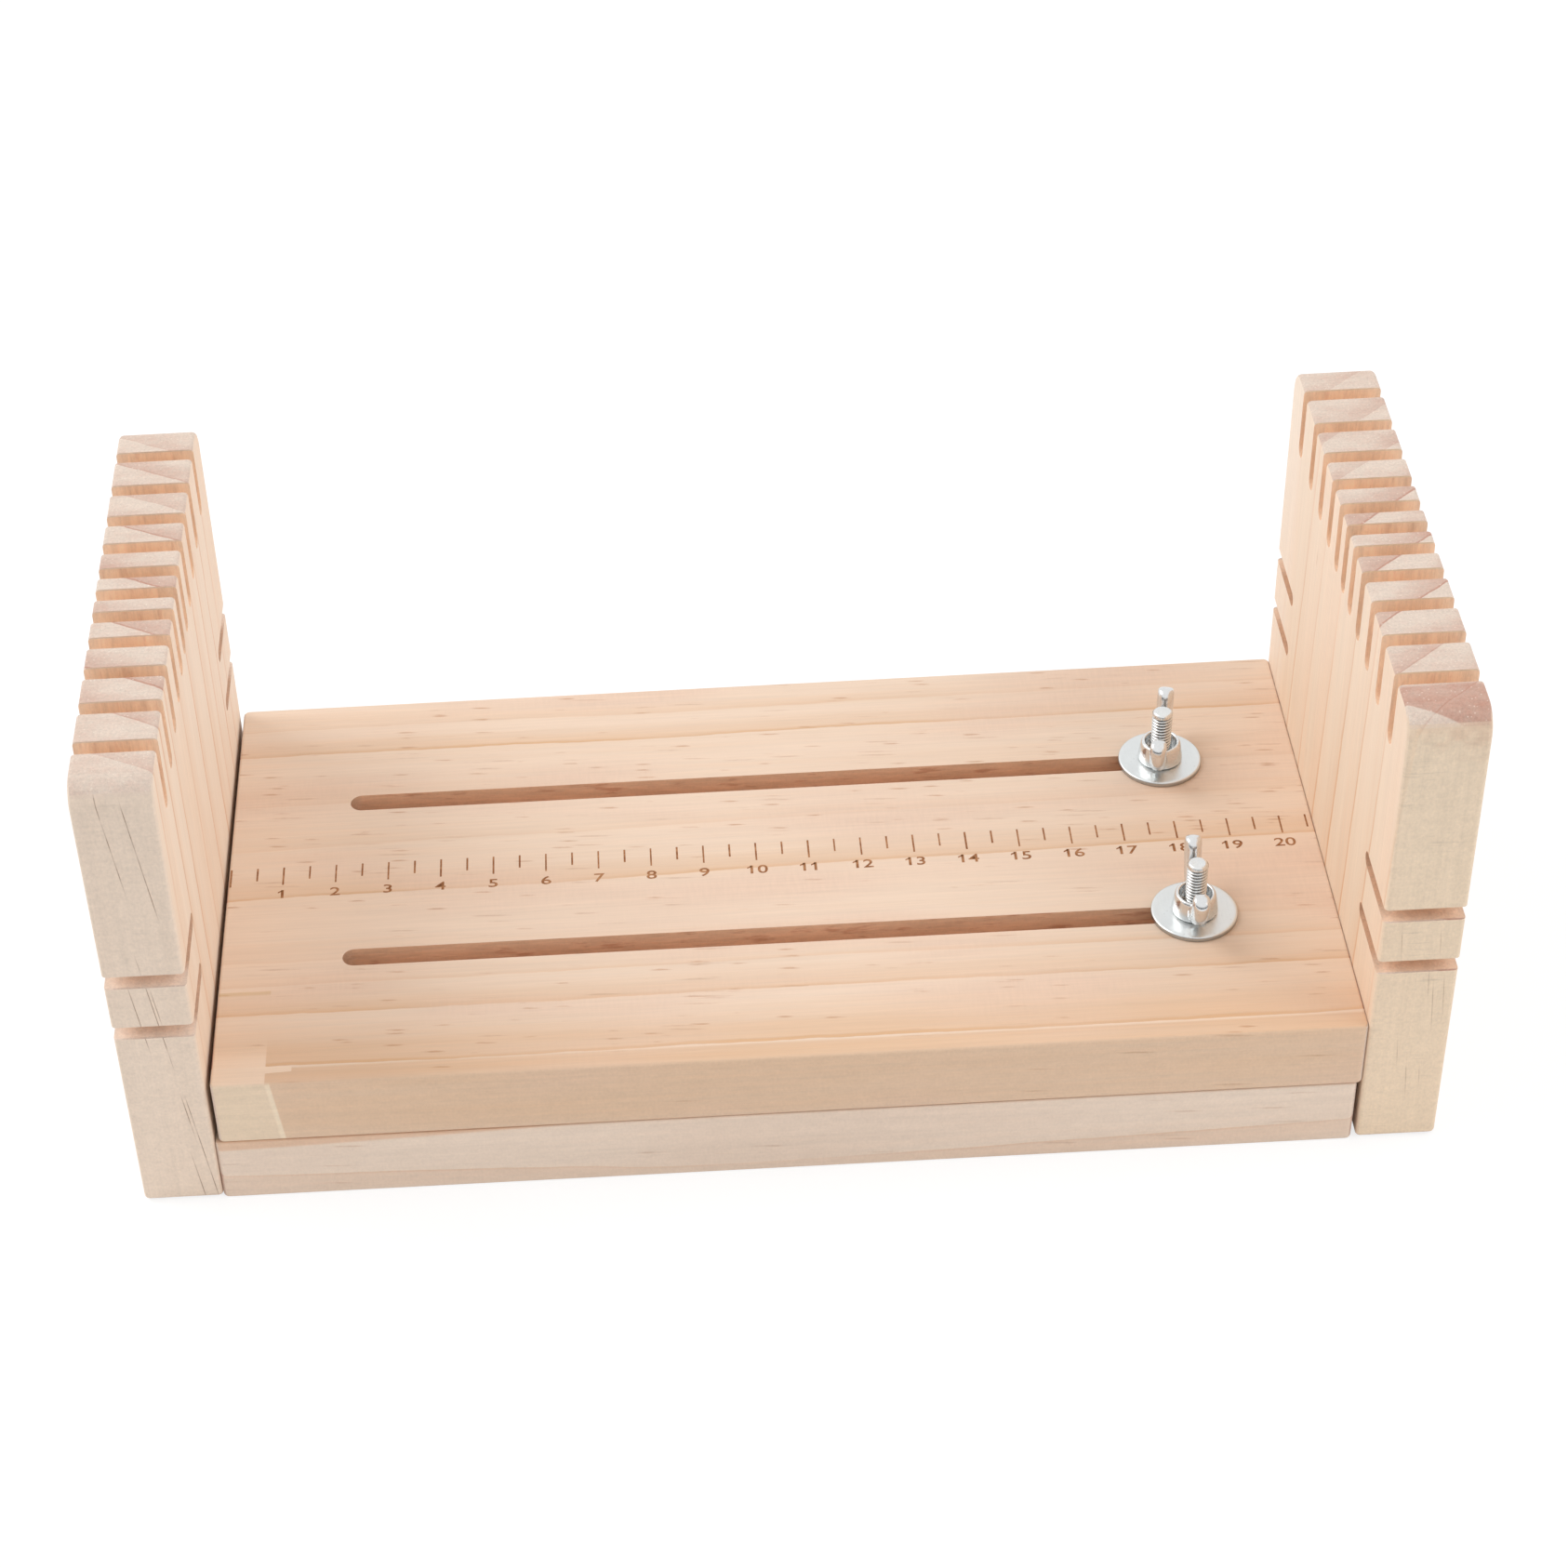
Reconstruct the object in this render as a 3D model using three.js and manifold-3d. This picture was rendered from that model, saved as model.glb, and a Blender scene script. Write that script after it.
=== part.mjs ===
// Bracelet weaving loom: two boards slide over each other, and each carries a grooved end plate.
// Two bolts with wing nuts run in the long slots of the upper board and lock the length.
// Millimetres, +Z up. X runs along the loom towards the fixed end plate, Y away from the weaver.
// The origin is on the table, under the middle of the loom as it is photographed.

import * as THREE from "three";
import { mergeVertices } from "three/addons/utils/BufferGeometryUtils.js";
import Module from "manifold-3d";

const wasm = await Module();
wasm.setup();

// Boards
const boardLength = 206.8;
const boardDepth = 108;
const boardThickness = 14;
const boardCornerRadius = 1.2;
const boardEdgeRounding = 0.5;
const slideClearance = 0.2;

// The sliding plate stands this far short of the upper board's end
const parkedGap = 0.8;

// End plates
const plateHeight = 98;
const plateThickness = 14.4;
const plateTopRadius = 5;
const plateFootRadius = 1.5;
const plateEdgeRounding = 0.8;

// Thread grooves in the top of each plate, closer together towards the middle
const groovesEachSide = 5;
const grooveWidth = 3.3;
const grooveDepth = 13.5;
const middlePitch = 6.5;
const pitchGrowth = 1.05;

// Tie-off notches in the front and back edge of each plate
const notchWidth = 2.9;
const notchDepth = 16.8;
const notchesPerEdge = 2;
const lowestNotchHeight = 42.4;
const notchSpacing = 12;

// Long slots and the bolts that run in them, both rows shifted a little back from the middle
const slotSpacing = 44.6;
const slotRowShift = 0.8;
const slotWidth = 4.5;
const slotInset = 22.6;
const boltInset = 25.6;
const boltDiameter = 3.9;
const boltLength = 35;
const boltChamfer = 0.4;
const boltHeadDiameter = 9.6;
const boltHeadHeight = 2.2;
const neckSide = 4;
const neckLength = 3;
const counterboreDiameter = 12;
const counterboreDepth = 5.6;
const runningFit = 0.1;

// Washers and wing nuts
const washerDiameter = 16;
const washerThickness = 1;
const washerBore = 4.5;
const washerEdge = 0.15;
const seatGap = 0.05;
const hubDiameter = 8.6;
const hubHeight = 4.2;
const hubEdge = 0.4;
const hubRecessDiameter = 6.4;
const hubRecessDepth = 2.4;
const wingSpan = 21;
const wingHeight = 10.3;
const wingThickness = 3.2;
const wingTipRadius = 2.3;
const wingRounding = 0.7;
const wingRootInset = 1.7;
const wingRootLow = 0.5;
const wingRootHigh = 3;
const wingUndersideRise = 0.85;
const wingUndersidePull = [8.8, 2.6];
const wingInnerPull = [5.1, 6.6];
const wingInnerFoot = [4, 3.9];
const wingTipStart = THREE.MathUtils.degToRad(-15);
const wingTipEnd = THREE.MathUtils.degToRad(155);
const frontNutTurn = THREE.MathUtils.degToRad(-3.5);
const rearNutTurn = THREE.MathUtils.degToRad(-13);

// Countersunk wood screws that hold each plate on the end of its board
const screwsPerPlate = 3;
const screwEdgeDistance = 18;
const screwLength = 30;
const screwDiameter = 3.4;
const screwTipLength = 6;
const screwTipRadius = 0.5;
const screwHeadDiameter = 7;
const screwHeadHeight = 2.2;
const screwHeadLand = 0.3;
const screwSink = 0.5;
const screwFit = 0.05;
const driveWidth = 0.9;
const driveSpan = 3.8;
const driveDepth = 1.4;

// Facets
const fineSegments = 36;
const smallSegments = 20;
const arcSegments = 6;
const roundingSegments = 3;
const cutOvershoot = 1;
const mergeDistance = 1e-4;

// Worked-out sizes
const upperBoardBase = boardThickness + slideClearance;
const boardTop = upperBoardBase + boardThickness;
const overallLength = 2 * plateThickness + parkedGap + boardLength;
const slotEndInset = slotInset + slotWidth / 2;
const frontRow = slotRowShift - slotSpacing / 2;
const rearRow = slotRowShift + slotSpacing / 2;
const boltFromPlate = boardLength - boltInset;
const washerBase = boardTop + seatGap;
const nutBase = washerBase + washerThickness + seatGap;

const pineTop = { color: 0xeccba6, roughness: 0.62, metalness: 0 };
const pinePlate = { color: 0xeed3b2, roughness: 0.65, metalness: 0 };
const zinc = { color: 0xc9ccce, roughness: 0.28, metalness: 1 };

// Solids from closed three.js geometries

function solid(geometry) {
  const bare = geometry.clone();
  bare.deleteAttribute("normal");
  bare.deleteAttribute("uv");
  const merged = mergeVertices(bare, mergeDistance);
  const corners = merged.index.array;
  const kept = [];
  for (let i = 0; i < corners.length; i += 3) {
    const [a, b, c] = [corners[i], corners[i + 1], corners[i + 2]];
    if (a !== b && b !== c && c !== a) kept.push(a, b, c);
  }
  return new wasm.Manifold(new wasm.Mesh({
    numProp: 3,
    vertProperties: new Float32Array(merged.attributes.position.array),
    triVerts: new Uint32Array(kept),
  }));
}

function geometryOf(body) {
  const faces = body.getMesh();
  const geometry = new THREE.BufferGeometry();
  geometry.setAttribute("position", new THREE.BufferAttribute(new Float32Array(faces.vertProperties), 3));
  geometry.setIndex(new THREE.BufferAttribute(new Uint32Array(faces.triVerts), 1));
  geometry.computeVertexNormals();
  return geometry;
}

function piece(name, body, finish) {
  const mesh = new THREE.Mesh(geometryOf(body), new THREE.MeshStandardMaterial(finish));
  mesh.name = name;
  return mesh;
}

// A turned solid about Z from [radius, height] points, listed from the bottom up
function turned(points, segments) {
  const profile = points.map(([radius, height]) => new THREE.Vector2(radius, height));
  return new THREE.LatheGeometry(profile, segments).rotateX(Math.PI / 2);
}

// An extrusion that starts at zero, with its edges rounded inside the outline
function roundedSlab(outline, thickness, rounding) {
  return new THREE.ExtrudeGeometry(outline, {
    depth: thickness - 2 * rounding,
    bevelEnabled: true,
    bevelThickness: rounding,
    bevelSize: rounding,
    bevelOffset: -rounding,
    bevelSegments: roundingSegments,
    curveSegments: arcSegments,
  }).translate(0, 0, rounding);
}

// Turns an outline drawn in (Y, Z) and extruded along its own normal to run along X
function alongX(geometry) {
  const turn = new THREE.Matrix4().makeBasis(
    new THREE.Vector3(0, 1, 0),
    new THREE.Vector3(0, 0, 1),
    new THREE.Vector3(1, 0, 0),
  );
  return geometry.applyMatrix4(turn);
}

// A rectangle with its own radius at the bottom and the top corners
function roundedRectangle(left, right, bottom, top, bottomRadius, topRadius) {
  const outline = new THREE.Shape();
  const quarter = Math.PI / 2;
  outline.moveTo(left + bottomRadius, bottom);
  outline.lineTo(right - bottomRadius, bottom);
  outline.absarc(right - bottomRadius, bottom + bottomRadius, bottomRadius, -quarter, 0, false);
  outline.lineTo(right, top - topRadius);
  outline.absarc(right - topRadius, top - topRadius, topRadius, 0, quarter, false);
  outline.lineTo(left + topRadius, top);
  outline.absarc(left + topRadius, top - topRadius, topRadius, quarter, 2 * quarter, false);
  outline.lineTo(left, bottom + bottomRadius);
  outline.absarc(left + bottomRadius, bottom + bottomRadius, bottomRadius, 2 * quarter, 3 * quarter, false);
  return outline;
}

// A sawn channel: open at the mouth, round at its end, running down from (0, 0)
function channelOutline(width, depth) {
  const outline = new THREE.Shape();
  const roundCentre = -(depth - width / 2);
  outline.moveTo(width / 2, cutOvershoot);
  outline.lineTo(-width / 2, cutOvershoot);
  outline.lineTo(-width / 2, roundCentre);
  outline.absarc(0, roundCentre, width / 2, Math.PI, 2 * Math.PI, false);
  return outline;
}

function channelCutter(width, depth) {
  const length = plateThickness + 2 * cutOvershoot;
  const cut = new THREE.ExtrudeGeometry(channelOutline(width, depth), {
    depth: length,
    bevelEnabled: false,
    curveSegments: arcSegments,
  });
  return alongX(cut).translate(-cutOvershoot, 0, 0);
}

// Positions that repeat

function grooveOffsets() {
  const offsets = [0];
  let reach = 0;
  for (let i = 0; i < groovesEachSide; i += 1) {
    reach += middlePitch + i * pitchGrowth;
    offsets.push(reach, -reach);
  }
  return offsets;
}

function notchHeights() {
  return Array.from({ length: notchesPerEdge }, (_, i) => lowestNotchHeight + i * notchSpacing);
}

function screwOffsets() {
  const reach = boardDepth - 2 * screwEdgeDistance;
  const step = reach / (screwsPerPlate - 1);
  return Array.from({ length: screwsPerPlate }, (_, i) => -reach / 2 + i * step);
}

// Wood screw, head at the origin and pointing up +Z, tip downwards

function screwProfile(growth) {
  const shank = screwDiameter / 2 + growth;
  const head = screwHeadDiameter / 2 + growth;
  const coneBase = -screwHeadLand - screwHeadHeight;
  return [
    [0, -screwLength - growth],
    [screwTipRadius + growth, -screwLength - growth],
    [shank, -screwLength + screwTipLength],
    [shank, coneBase],
    [head, -screwHeadLand],
  ];
}

function woodScrew() {
  const head = screwHeadDiameter / 2;
  const body = solid(turned([...screwProfile(0), [head, 0], [0, 0]], smallSegments));
  const blade = new THREE.BoxGeometry(driveSpan, driveWidth, 2 * driveDepth);
  const cross = solid(blade).add(solid(blade.clone().rotateZ(Math.PI / 2)));
  return body.subtract(cross);
}

// The hole that the screw makes, open above its sunk head
function screwHole() {
  const mouth = screwHeadDiameter / 2 + screwFit;
  const above = screwSink + cutOvershoot;
  return solid(turned([...screwProfile(screwFit), [mouth, above], [0, above]], smallSegments));
}

// The screw's place in a plate whose inner face is at x = 0, pointing inwards along -X
function screwPlace(offset, height) {
  const turn = new THREE.Matrix4().makeRotationY(Math.PI / 2);
  return turn.setPosition(plateThickness - screwSink, offset, height);
}

function cutScrewHoles(body, height) {
  let result = body;
  for (const offset of screwOffsets()) {
    const hole = screwHole().transform(screwPlace(offset, height).elements);
    result = result.subtract(hole);
  }
  return result;
}

// End plate: inner face at x = 0, outer face at x = plateThickness, foot at z = 0

function endPlate(screwHeight) {
  const half = boardDepth / 2;
  const outline = roundedRectangle(-half, half, 0, plateHeight, plateFootRadius, plateTopRadius);
  let body = solid(alongX(roundedSlab(outline, plateThickness, plateEdgeRounding)));
  for (const offset of grooveOffsets()) {
    const cutter = channelCutter(grooveWidth, grooveDepth).translate(0, offset, plateHeight);
    body = body.subtract(solid(cutter));
  }
  for (const height of notchHeights()) {
    for (const side of [-1, 1]) {
      const cutter = channelCutter(notchWidth, notchDepth).rotateX(-side * Math.PI / 2);
      body = body.subtract(solid(cutter.translate(0, side * half, height)));
    }
  }
  return cutScrewHoles(body, screwHeight);
}

// Board blank: from x = 0 to boardLength, centred on y = 0, standing on z = 0

function boardBlank() {
  const half = boardDepth / 2;
  const radius = boardCornerRadius;
  const outline = roundedRectangle(0, boardLength, -half, half, radius, radius);
  return solid(roundedSlab(outline, boardThickness, boardEdgeRounding));
}

function longSlot(offset) {
  const outline = new THREE.Shape();
  const radius = slotWidth / 2;
  const start = slotEndInset;
  const end = boardLength - slotEndInset;
  outline.absarc(start, offset, radius, Math.PI / 2, 3 * Math.PI / 2, false);
  outline.absarc(end, offset, radius, -Math.PI / 2, Math.PI / 2, false);
  const cut = new THREE.ExtrudeGeometry(outline, {
    depth: boardThickness + 2 * cutOvershoot,
    bevelEnabled: false,
    curveSegments: 2 * arcSegments,
  });
  return solid(cut.translate(0, 0, -cutOvershoot));
}

function upperBoard() {
  let body = boardBlank();
  for (const row of [frontRow, rearRow]) {
    body = body.subtract(longSlot(row));
  }
  const place = new THREE.Matrix4().makeTranslation(-boardLength, 0, 0);
  const shifted = body.transform(place.elements);
  return cutScrewHoles(shifted, boardThickness / 2);
}

// The lower board lies against the sliding plate. Both face the other way, so their rows change sides
function lowerBoard() {
  const place = new THREE.Matrix4().makeTranslation(-boardLength, 0, 0);
  let body = cutScrewHoles(boardBlank().transform(place.elements), boardThickness / 2);
  for (const row of [frontRow, rearRow]) {
    body = body.subtract(boltHole().translate([-boltFromPlate, -row, 0]));
  }
  return body;
}

// Carriage bolt: the underside of its round head is at z = 0, its shank points up

function bolt() {
  const shank = boltDiameter / 2;
  const head = boltHeadDiameter / 2;
  const dome = [];
  for (let i = 0; i <= arcSegments; i += 1) {
    const angle = (i / arcSegments) * Math.PI / 2;
    dome.push([head * Math.sin(angle), -boltHeadHeight * Math.cos(angle)]);
  }
  const rod = solid(turned([
    ...dome,
    [shank, 0],
    [shank, boltLength - boltChamfer],
    [shank - boltChamfer, boltLength],
    [0, boltLength],
  ], smallSegments));
  const rootedLength = neckLength + boltHeadHeight / 2;
  const neck = new THREE.BoxGeometry(neckSide, neckSide, rootedLength);
  return rod.add(solid(neck.translate(0, 0, neckLength - rootedLength / 2)));
}

// Through hole, square socket for the neck and counterbore for the head, up from z = 0
function boltHole() {
  const shank = boltDiameter / 2 + runningFit;
  const bore = counterboreDiameter / 2;
  const top = boardThickness + cutOvershoot;
  const round = solid(turned([
    [0, -cutOvershoot],
    [bore, -cutOvershoot],
    [bore, counterboreDepth],
    [shank, counterboreDepth],
    [shank, top],
    [0, top],
  ], fineSegments));
  const side = neckSide + 2 * runningFit;
  const socket = new THREE.BoxGeometry(side, side, neckLength + 2 * runningFit);
  return round.add(solid(socket.translate(0, 0, counterboreDepth + neckLength / 2)));
}

function washer() {
  const inner = washerBore / 2;
  const outer = washerDiameter / 2;
  return solid(turned([
    [inner, 0],
    [outer, 0],
    [outer, washerThickness - washerEdge],
    [outer - washerEdge, washerThickness],
    [inner, washerThickness],
    [inner, 0],
  ], fineSegments));
}

// Wing nut with rounded wings along Y, standing on z = 0; the outline is in (Y, Z)

function wingOutline() {
  const outline = new THREE.Shape();
  const root = hubDiameter / 2 - wingRootInset;
  const tipReach = wingSpan / 2 - wingTipRadius;
  const tipHeight = wingHeight - wingTipRadius;
  const tipFoot = [
    tipReach + wingTipRadius * Math.cos(wingTipStart),
    tipHeight + wingTipRadius * Math.sin(wingTipStart),
  ];
  outline.moveTo(root, wingRootLow);
  outline.lineTo(hubDiameter / 2, wingUndersideRise);
  outline.quadraticCurveTo(...wingUndersidePull, ...tipFoot);
  outline.absarc(tipReach, tipHeight, wingTipRadius, wingTipStart, wingTipEnd, false);
  outline.quadraticCurveTo(...wingInnerPull, ...wingInnerFoot);
  outline.lineTo(root, wingRootHigh);
  return outline;
}

function wingNut() {
  const hub = hubDiameter / 2;
  const bore = boltDiameter / 2 + runningFit;
  const recess = hubRecessDiameter / 2;
  const wingBlank = roundedSlab(wingOutline(), wingThickness, wingRounding);
  const wing = alongX(wingBlank).translate(-wingThickness / 2, 0, 0);
  const farWing = solid(wing);
  const nearWing = solid(wing.clone().rotateZ(Math.PI));
  const hubBody = solid(turned([
    [0, 0],
    [hub - hubEdge, 0],
    [hub, hubEdge],
    [hub, hubHeight - hubEdge],
    [hub - hubEdge, hubHeight],
    [0, hubHeight],
  ], fineSegments));
  const opening = solid(turned([
    [0, -cutOvershoot],
    [bore, -cutOvershoot],
    [bore, hubHeight - hubRecessDepth],
    [recess, hubHeight],
    [recess, wingHeight],
    [0, wingHeight],
  ], fineSegments));
  return hubBody.add(farWing).add(nearWing).subtract(opening);
}

// Assembly

function plateScrews(half, prefix, height) {
  for (const [i, offset] of screwOffsets().entries()) {
    const screw = piece(`${prefix}_${i + 1}`, woodScrew(), zinc);
    screw.position.set(plateThickness - screwSink, offset, height);
    screw.rotation.y = Math.PI / 2;
    half.add(screw);
  }
}

// Both halves are built from the inner face of their plate, board towards -X, plate towards +X
const fixedHalf = new THREE.Group();
const upperScrewHeight = upperBoardBase + boardThickness / 2;
const upper = piece("upper_board", upperBoard(), pineTop);
upper.position.z = upperBoardBase;
fixedHalf.add(upper);
fixedHalf.add(piece("fixed_end_plate", endPlate(upperScrewHeight), pinePlate));
plateScrews(fixedHalf, "fixed_plate_screw", upperScrewHeight);
fixedHalf.position.x = overallLength / 2 - plateThickness;

const slidingHalf = new THREE.Group();
const lowerScrewHeight = boardThickness / 2;
slidingHalf.add(piece("lower_board", lowerBoard(), pineTop));
slidingHalf.add(piece("sliding_end_plate", endPlate(lowerScrewHeight), pinePlate));
plateScrews(slidingHalf, "sliding_plate_screw", lowerScrewHeight);

const fastenerRows = [
  { name: "front", row: frontRow, turn: frontNutTurn },
  { name: "rear", row: rearRow, turn: rearNutTurn },
];
for (const { name, row, turn } of fastenerRows) {
  const place = [-boltFromPlate, -row];
  const boltPiece = piece(`${name}_bolt`, bolt(), zinc);
  boltPiece.position.set(...place, counterboreDepth);
  const washerPiece = piece(`${name}_washer`, washer(), zinc);
  washerPiece.position.set(...place, washerBase);
  const nutPiece = piece(`${name}_wing_nut`, wingNut(), zinc);
  nutPiece.position.set(...place, nutBase);
  nutPiece.rotation.z = turn;
  slidingHalf.add(boltPiece, washerPiece, nutPiece);
}
slidingHalf.position.x = -overallLength / 2 + plateThickness;
slidingHalf.rotation.z = Math.PI;

const loom = new THREE.Group();
loom.add(fixedHalf, slidingHalf);

export default loom;
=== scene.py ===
import math
import random
from dataclasses import dataclass

import bpy
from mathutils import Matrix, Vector


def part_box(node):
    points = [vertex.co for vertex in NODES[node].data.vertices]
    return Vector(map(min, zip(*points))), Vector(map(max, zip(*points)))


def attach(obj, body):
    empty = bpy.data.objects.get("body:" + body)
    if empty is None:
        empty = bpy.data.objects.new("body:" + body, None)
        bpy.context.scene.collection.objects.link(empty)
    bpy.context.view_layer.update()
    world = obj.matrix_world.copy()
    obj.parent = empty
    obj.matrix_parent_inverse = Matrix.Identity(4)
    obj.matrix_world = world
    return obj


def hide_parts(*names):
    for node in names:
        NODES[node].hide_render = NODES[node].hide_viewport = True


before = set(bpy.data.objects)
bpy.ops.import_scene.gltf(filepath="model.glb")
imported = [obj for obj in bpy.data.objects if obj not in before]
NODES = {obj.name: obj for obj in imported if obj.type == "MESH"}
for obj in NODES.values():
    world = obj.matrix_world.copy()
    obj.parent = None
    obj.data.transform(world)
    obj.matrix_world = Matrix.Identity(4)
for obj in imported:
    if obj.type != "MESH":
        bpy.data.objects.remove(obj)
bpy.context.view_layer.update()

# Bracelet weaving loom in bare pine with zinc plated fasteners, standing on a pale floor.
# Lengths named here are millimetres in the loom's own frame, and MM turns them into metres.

MM = 0.001

# Camera, in metres and degrees, fitted to the ruler and the corners in the photograph
CAMERA_PLACE = (-0.02053, -0.49507, 0.45702)
CAMERA_TURN = (49.5506, 2.2631, -1.9613)
CAMERA_LENS = 79.2288
CAMERA_SENSOR = 36
CAMERA_SHIFT = (0.0780464, 0.0329378)

# Ruler on the upper board
RULER_ZERO = -102.5
RULER_FAR_ENDS = 5.0
RULER_STROKES = 42
RULER_NUMBERS = 20
RULER_SEED = 12
CENTIMETRE = 10
MARK_STEP = 5.0
CENTIMETRE_MARK = 5.0
HALF_MARK = 3.6
MARK_WIDTH = 0.34
MARK_PROUD = 0.012
MARK_SUNK = 0.05
DIGIT_TOP = -1.4
DIGIT_HEIGHT = 2.35
DIGIT_WIDTH = 1.3
DIGIT_STEP = 0.5
DIGIT_BOLD = 0.012
DIGIT_HALF_DEPTH = 0.5
DIGIT_FLAG = ((0.0, 0.682), (-0.2, 0.53), (-0.2, 0.42), (0.0, 0.55))

# Fasteners
PITCH = 0.7
ROWS_PER_PITCH = 10
THREAD_DEPTH = 0.42
CREST_SHARE = 0.08
FLANK_SHARE = 0.78
BOLT_RADIUS = 1.95
BOLT_HEAD_RADIUS = 4.8
BOLT_HEAD_HEIGHT = 2.2
BOLT_LENGTH = 35.0
BOLT_CHAMFER = 0.4
BOLT_DISH = 0.05
BOLT_SEGMENTS = 48
NECK_SIDE = 4.0
NECK_CORNER = 1.34
NECK_LENGTH = 3.0
WASHER_RADIUS = 8.0
WASHER_BORE = 2.25
WASHER_THICKNESS = 1.0
WASHER_SEGMENTS = 96
HUB_SEGMENTS = 96
HUB_FOOT = 4.28
HUB_RIM = 3.75
HUB_HEIGHT = 4.2
HUB_BORE = 2.02
CUP_RADIUS = 3.0
WING_ROOT = (3.0, 2.1)
WING_PULL = (6.7, 3.1)
WING_TIP = (8.3, 8.2)
WING_ROOT_HALF = 1.9
WING_TIP_HALF = 2.08
WING_THICKNESS = 3.2
WING_SQUARENESS = 2.3
CAP_SQUARENESS = 4.5
EAR_SQUARENESS = 2.3
WING_STEPS = 24
EAR_STEPS = 10
WING_AROUND = 40
NUT_TURNS = {"front": -3.5, "rear": -13.0}
NUT_VOXEL = 0.12
NUT_SOFTENING = 5
ZINC_RELIEF = 0.012

# Stage, in metres and watts
FLOOR_HALF = 3.0
FLOOR_DROP = 0.00002
FLOOR_GLOW = 0.76
LAMP_AIM = (0, 0, 0.03)
LAMP_SIZE = 0.9
LAMPS = {
    "key_softbox": ((-1.0, 0.35, 1.05), 7.8),
    "fill_softbox": ((1.0, -0.3, 0.95), 4.6),
}


# Colour

def tint(red, green, blue):
    """A colour as it looks on screen, from 0 to 255, turned into the linear colour of a shader."""
    return (*(((c / 255 + 0.055) / 1.055) ** 2.4 for c in (red, green, blue)), 1.0)


WHITE = (1, 1, 1, 1)
FLOOR_GREY = (0.92, 0.92, 0.92, 1)
FLOOR_GREY_SEEN = (0.30, 0.30, 0.30, 1)
END_PALE = tint(228, 210, 195)
END_LATE = tint(197, 152, 134)
END_PAINTED_GLINT = tint(252, 240, 226)
# Pale tone of the painted light on the back and top of the right plate
PAINTED_LIGHT_TONE = tint(240, 228, 215)
DASH_BROWN = tint(192, 136, 97)
HAIR_BROWN = tint(190, 144, 110)
STREAK_BROWN = tint(138, 98, 72)
TOOTH_FLUSH = tint(206, 164, 138)
WEDGE_ORANGE = tint(226, 180, 144)
SHORT_TOP = tint(250, 224, 200)
SHORT_FRONT = tint(233, 211, 184)
SHORT_SEAM = tint(216, 180, 124)
GLUE_PALE = tint(248, 230, 204)
BURN_BROWN = tint(186, 104, 66)
SLOT_END_GRAIN_AND_SHADE = tint(150, 108, 80)
NOTCH_PAINTED_SHADE = tint(226, 176, 136)
MARK_DARK = tint(146, 94, 60)
MARK_LIGHT = tint(192, 140, 100)


# Shader nodes

class Value:
    """A number that a node gives. Arithmetic on it adds more nodes."""

    def __init__(self, graph, socket):
        self.graph = graph
        self.socket = socket

    def __add__(self, other):
        return self.graph.math("ADD", self, other)

    def __sub__(self, other):
        return self.graph.math("SUBTRACT", self, other)

    def __mul__(self, other):
        return self.graph.math("MULTIPLY", self, other)

    def __truediv__(self, other):
        return self.graph.math("DIVIDE", self, other)

    def __rsub__(self, other):
        return self.graph.math("SUBTRACT", other, self)

    def __abs__(self):
        return self.graph.math("ABSOLUTE", self)


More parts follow.
